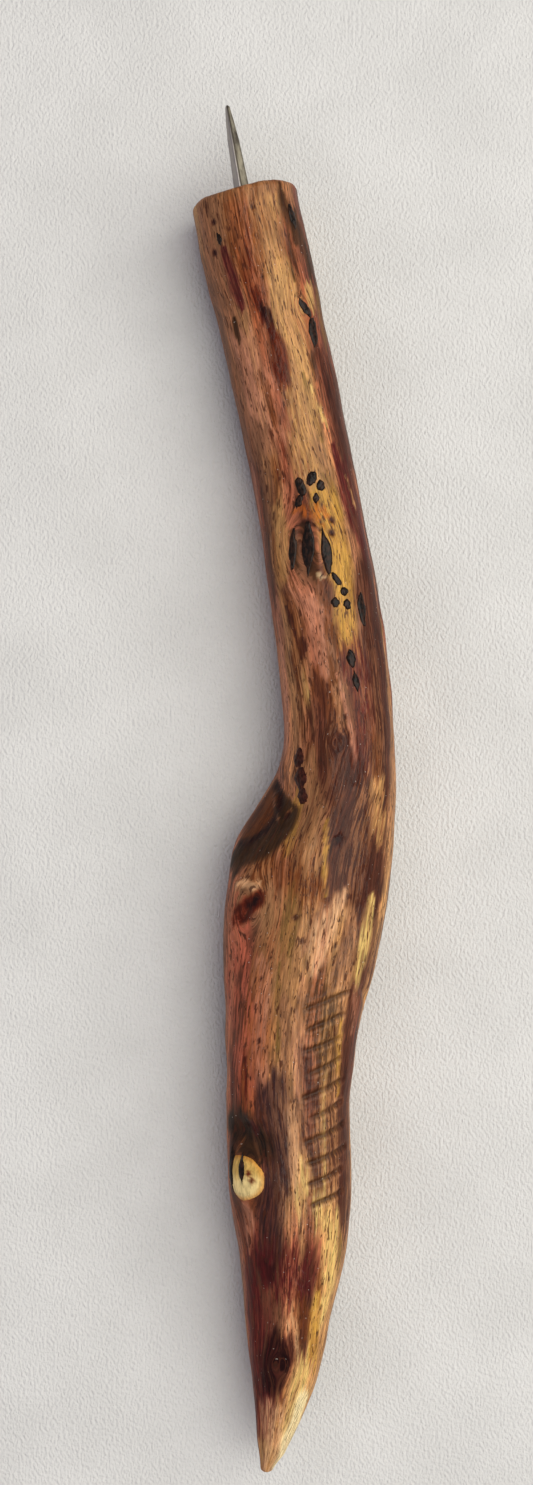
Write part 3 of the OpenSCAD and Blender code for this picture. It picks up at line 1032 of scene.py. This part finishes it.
def paper_material():
    """Pale rough paper."""
    made, tree, shader = material("pale_paper")
    place = object_place(tree)
    pulp = stretched_noise(tree, place, (2500.0, 1700.0, 2500.0), 5.0)
    cloud = stretched_noise(tree, place, (60.0, 60.0, 60.0), 3.0)
    colour = mixed(tree, contrast(tree, cloud, 0.3, 0.7), (0.64, 0.64, 0.625, 1.0), (0.69, 0.69, 0.675, 1.0))
    set_shader(tree, shader, colour, 0.85, bump(tree, pulp, 0.0005, 0.8), {"Specular IOR Level": 0.2})
    return made


# ---------------------------------------------------------------- pieces


def end_rows(wood):
    """The drilled hole and the sawn face, as rows of points that come outwards to the first ring."""
    first = wood.points[0]
    middle = wood.end
    outward = unit(first - middle)
    rows = []
    reach = np.linalg.norm(first - middle, axis=1, keepdims=True)
    for share in np.linspace(0, 1, 9)[1:]:
        row = middle + outward * blend(reach, wood.bore_radius, share)
        saw = 0.05 * noise(row, (0.2, 1.0, 1.6), 31) * (share < 1)
        rows.append(row + wood.axis * saw[:, None])
    for depth in (0.15, 1.0, wood.bore_depth):
        rows.append(middle + outward * wood.bore_radius - wood.bore_axis * depth)
    return np.array(rows)[::-1]


def build_handle(wood, pits, cuts, burr_and_glint):
    inner = end_rows(wood)
    points, faces = closed_loft(np.vstack([inner, wood.points]))
    made = piece("branch_handle", points, faces, wood_material(), "branch_wood", ["handle"])
    offset = inner - wood.end
    heart = np.linalg.norm(offset, axis=-1, keepdims=True)
    ring = 0.5 + 0.5 * np.sin(heart * 7 + 2 * noise(inner, 0.4, 33)[..., None])
    end_colour = blend(TONES["tan"], TONES["dusk"], 0.5 * ring) ** DEEPENING
    for name, colour in zip(("figure", "faint_figure"), colour_wood(wood, pits, cuts, burr_and_glint)):
        add_colour(made.data, name, with_middles(np.vstack([end_colour, colour])))
    add_vector(made.data, "grain", with_middles(np.vstack([offset * [1, 0.3, 1], wood.grain])))


def islands(name):
    """The separate solids of a CAD node, as lists of points."""
    mesh = frame["nodes"][name].data
    points = cad_points(name)
    keys = np.unique(np.round(points, 3), axis=0, return_inverse=True)[1].ravel()
    parent = list(range(keys.max() + 1))

    def root(v):
        while parent[v] != v:
            v = parent[v]
        return v

    for edge in mesh.edges:
        a, b = (root(keys[v]) for v in edge.vertices)
        parent[max(a, b)] = min(a, b)
    roots = np.array([root(k) for k in keys])
    return [points[roots == r] for r in np.unique(roots)]


class Inlay:
    """Where a plug from the CAD meets the wood: its middle, directions and half sizes."""

    def __init__(self, wood, points):
        index = wood.nearest(points[:, 0].mean(), points[:, 1].mean())
        self.normal = wood.normals[index]
        side = unit(np.cross(AHEAD, self.normal))
        ahead = np.cross(self.normal, side)
        middle = (points.max(0) + points.min(0)) / 2
        self.middle = middle + self.normal * ((wood.points[index] - middle) @ self.normal)
        flat = np.stack([(points - self.middle) @ side, (points - self.middle) @ ahead], 1)
        centre = (flat.max(0) + flat.min(0)) / 2
        spread = np.linalg.eigh(np.cov((flat - centre).T))[1]
        self.long = side * spread[0, 1] + ahead * spread[1, 1]
        self.short = np.cross(self.normal, self.long)
        self.half_long = np.abs((points - self.middle) @ self.long).max()
        self.half_short = np.abs((points - self.middle) @ self.short).max()


def surface_tree(wood):
    points, faces = closed_loft(wood.points)
    return BVHTree.FromPolygons([tuple(p) for p in points], faces)


def lens(tree, inlay, seed, crown, pointed=0.0, widen=1.0, rough=0.28):
    """A closed domed plug with an uneven outline, whose top follows the wood's surface."""
    rows = 9
    angles = turns(36)
    circle = np.stack([np.cos(angles), np.sin(angles), 0 * angles], -1)
    uneven = 1 + rough * noise(circle, 1.6, seed) + 0.3 * rough * noise(circle, 4.0, seed + 1)
    outline_long = circle[:, 0] * uneven
    outline_short = circle[:, 1] * np.abs(circle[:, 1]) ** (0.6 * pointed) * uneven
    layers = []
    for r in range(rows):
        share = 1 - (r / rows) ** 1.3
        long = outline_long * share * inlay.half_long * widen
        short = outline_short * share * inlay.half_short * widen
        height = crown * (1 - share**4) - PLUG_STEP * share**12 + PLUG_STEP
        height = height + 0.05 * noise(np.stack([long, short, 0 * long], -1), 3.2, seed + 2)
        layers.append(on_surface(tree, inlay, long, short, height))
    long = outline_long * inlay.half_long * widen * 0.9
    short = outline_short * inlay.half_short * widen * 0.9
    bottom = on_surface(tree, inlay, long, short, -PLUG_DEPTH)
    return closed_loft(np.array([bottom] + layers))


def on_surface(tree, inlay, long, short, height):
    """Points at places round an inlay, each a height above the wood's surface there."""
    found = []
    height = np.broadcast_to(height, np.shape(long))
    for a, b, h in zip(long, short, height):
        start = inlay.middle + inlay.long * a + inlay.short * b
        hit = tree.ray_cast(Vector(start + inlay.normal * 4), Vector(-inlay.normal))[0]
        base = start if hit is None else np.array(hit)
        found.append(base + inlay.normal * h)
    return found


def build_bark(wood, tree):
    black = bark_material("lacquered_bark", (0.006, 0.004, 0.003, 1.0), (0.03, 0.013, 0.008, 1.0))
    maroon = bark_material("lacquered_maroon_bark", (0.022, 0.005, 0.003, 1.0), (0.07, 0.018, 0.01, 1.0))
    looks = {"black": black, "maroon": maroon}
    for node_name, (widen, crown, bark) in INSERTS.items():
        parts = []
        for number, points in enumerate(islands(node_name)):
            inlay = Inlay(wood, points)
            slender = inlay.half_long / inlay.half_short
            seed = 300 + 10 * number + len(node_name)
            parts.append(lens(tree, inlay, seed, crown, min(max(slender - 1.6, 0), 1), widen))
        points, faces = joined(parts)
        piece(node_name + "_shown", points, faces, looks[bark], "bark", [node_name])


def build_knot(wood, tree):
    inlay = Inlay(wood, cad_points("encased_knot"))
    inlay.long = unit(AHEAD - inlay.normal * (AHEAD @ inlay.normal))
    inlay.short = np.cross(inlay.normal, inlay.long)
    inlay.half_long, inlay.half_short = KNOT_HALF_SIZES
    inlay.middle = inlay.middle + KNOT_SHIFT[0] * inlay.long + KNOT_SHIFT[1] * inlay.short
    points, faces = lens(tree, inlay, 410, KNOT_CROWN, rough=0.07)
    made = piece("pale_knot", points, faces, knot_material(), "knot_wood", ["encased_knot"])
    offset = points - inlay.middle
    along, aside = offset @ inlay.long, offset @ inlay.short
    gap = np.hypot(along / inlay.half_long, aside / inlay.half_short)
    pale = smooth(0.5 - 0.35 * along + 0.5 * noise(offset, 0.8, 415))[:, None]
    colour = blend(TONES["ochre"], TONES["straw"], pale)
    colour = blend(colour, TONES["amber"], 0.6 * smooth((gap - 0.75) / 0.25)[:, None])
    for dot_aside, dot_along in KNOT_DOTS:
        dot = smooth((DOT_RADIUS - np.hypot(aside - dot_aside, along - dot_along)) / 0.3)[:, None]
        colour = blend(colour, TONES["mahogany"], dot)
    add_colour(made.data, "figure", colour)
    add_vector(made.data, "grain", np.stack([aside, along, offset @ inlay.normal], -1))


def steel_sections(points):
    """The steel's axis, and its place along and half width at each of its CAD sections."""
    far = points[np.argmax(points[:, 1])]
    near = points[points[:, 1] < points[:, 1].min() + 0.6].mean(0)
    axis = unit(far - near)
    tip = points[(points - near) @ axis > (far - near) @ axis - 0.05].mean(0)
    axis = unit(tip - near)
    along = np.round((points - near) @ axis, 1)
    sections = []
    for place in np.unique(along):
        ring = points[along == place]
        corner = np.linalg.norm((ring - near) - np.outer((ring - near) @ axis, axis), axis=1).max()
        sections.append((place, corner))
    return near, axis, np.array(sections)


def build_steel():
    """The tapered four-sided point, its arrises slightly rounded and its faces a little uneven."""
    points = cad_points("awl_point")
    near, axis, sections = steel_sections(points)
    side, over = square_to(axis)
    ring = points[np.abs((points - near) @ axis - sections[1, 0]) < 0.2]
    corner = ring[0] - near
    turn = math.atan2(corner @ over, corner @ side)
    tang = np.linspace(sections[0, 0], sections[1, 0], 12)
    blade = np.linspace(sections[1, 0], sections[-1, 0], 60)[1:]
    places = np.concatenate([tang, blade])
    angles = turns(48)
    rows = []
    for place in places:
        reach = np.interp(place, sections[:, 0], sections[:, 1])
        square = 1 / np.maximum(np.abs(np.cos(angles)) + np.abs(np.sin(angles)), 1e-6)
        blunt = np.minimum(square, ARRIS_REACH)
        shape = np.stack([np.cos(angles + turn), np.sin(angles + turn)], 1) * (blunt * reach)[:, None]
        centre = near + axis * place
        row = centre + side * shape[:, :1] + over * shape[:, 1:]
        wear = 1 + 0.03 * noise(row, (1.2, 0.8, 1.2), 51)
        rows.append(centre + (row - centre) * wear[:, None])
    rows = np.array(rows)[::-1]
    points, faces = closed_loft(rows)
    made = piece("steel_point", points, faces, steel_material(), "point_steel", ["awl_point"])
    offset = points - near
    add_vector(made.data, "grain", np.stack([offset @ side, offset @ axis, offset @ over], -1))
    return near, axis


def build_glue(wood, steel_near, steel_axis):
    """The glue that fills the hole round the tang, with a skin that climbs the wall and the steel."""
    side, over = square_to(steel_axis)
    top = (wood.end - steel_near) @ steel_axis
    middle = steel_near + steel_axis * top
    wall = wood.bore_radius - GLUE_CLEARANCE
    skin = [(0.3, -0.30), (1.15, -0.32), (1.35, -0.55), (1.6, -0.62), (1.8, -0.55), (wall, -0.38)]
    profile = skin + [(wall, -1.5), (wall, 0.4 - wood.bore_depth)]
    angles = turns(64)
    ring = side * np.cos(angles)[:, None] + over * np.sin(angles)[:, None]
    rows = []
    for radius, height in profile:
        uneven = 0.04 * noise(ring, 2.0, 61) * (height > -0.7)
        rows.append(middle + ring * radius + steel_axis * (height + uneven)[:, None])
    points, faces = closed_loft(np.array(rows))
    piece("set_glue", points, faces, glue_material(), "set_glue", ["adhesive_bed"])


# ---------------------------------------------------------------- the stage


def build_floor():
    half = 1500
    points = [(-half, -half, 0), (half, -half, 0), (half, half, 0), (-half, half, 0)]
    made = piece("floor", points, [(0, 1, 2, 3)], paper_material())


def add_light(name, place, size, power, colour):
    data = bpy.data.lights.new(name, "AREA")
    data.shape = "RECTANGLE"
    data.size, data.size_y = size
    data.energy = power
    data.color = colour
    made = bpy.data.objects.new(name, data)
    bpy.context.scene.collection.objects.link(made)
    made.location = place
    made.rotation_euler = (-Vector(place)).to_track_quat("-Z", "Y").to_euler()


def light_stage():
    world = bpy.data.worlds.new("studio")
    bpy.context.scene.world = world
    world.use_nodes = True
    background = world.node_tree.nodes["Background"]
    background.inputs["Color"].default_value = WORLD_COLOUR
    background.inputs["Strength"].default_value = WORLD_STRENGTH
    for light in LIGHTS:
        add_light(*light)


def place_camera():
    """Straight down over the awl, a little to the left of its middle and towards the steel."""
    data = bpy.data.cameras.new("camera")
    data.sensor_width = 36
    data.lens = FOCAL_LENGTH
    data.clip_start = 0.01
    made = bpy.data.objects.new("camera", data)
    bpy.context.scene.collection.objects.link(made)
    made.location = CAMERA_PLACE
    bpy.context.scene.camera = made


def build_awl():
    wood = Wood()
    wood.follow_grain()
    pits, cuts, burr_and_glint = shape_wood(wood)
    tree = surface_tree(wood)
    build_handle(wood, pits, cuts, burr_and_glint)
    build_bark(wood, tree)
    build_knot(wood, tree)
    near, axis = build_steel()
    build_glue(wood, near, axis)


build_awl()
build_floor()
light_stage()
place_camera()
bpy.context.scene.view_settings.view_transform = "Standard"
